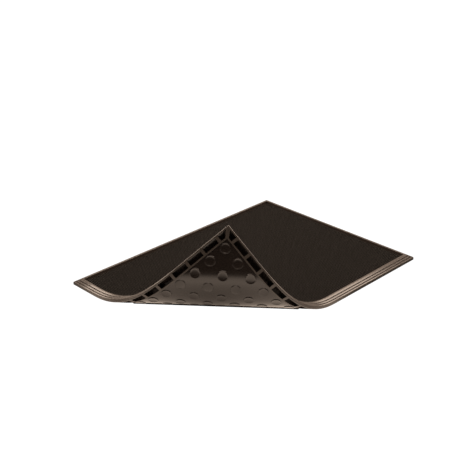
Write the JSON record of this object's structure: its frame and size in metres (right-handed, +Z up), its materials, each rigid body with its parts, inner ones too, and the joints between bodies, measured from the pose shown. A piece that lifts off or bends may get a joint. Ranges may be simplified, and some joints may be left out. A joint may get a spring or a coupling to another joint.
{
  "type": "disinfectant footbath mat",
  "caption": "Rectangular moulded rubber mat with a raised stepped border round a shallow bath, suction cups underneath, and one corner turned up.",
  "frame": {"origin": "on the floor, under the middle of the mat's rectangle", "axes": "+X along the long side, +Y along the short side, +Z up; the turned-up corner is at -X, -Y"},
  "size_m": [0.8136, 0.6105, 0.2674],
  "materials": {
    "moulded_rubber": "moulded, satin"
  },
  "bodies": {
    "root": {"footbath_mat": "moulded_rubber"}
  },
  "joints": []
}
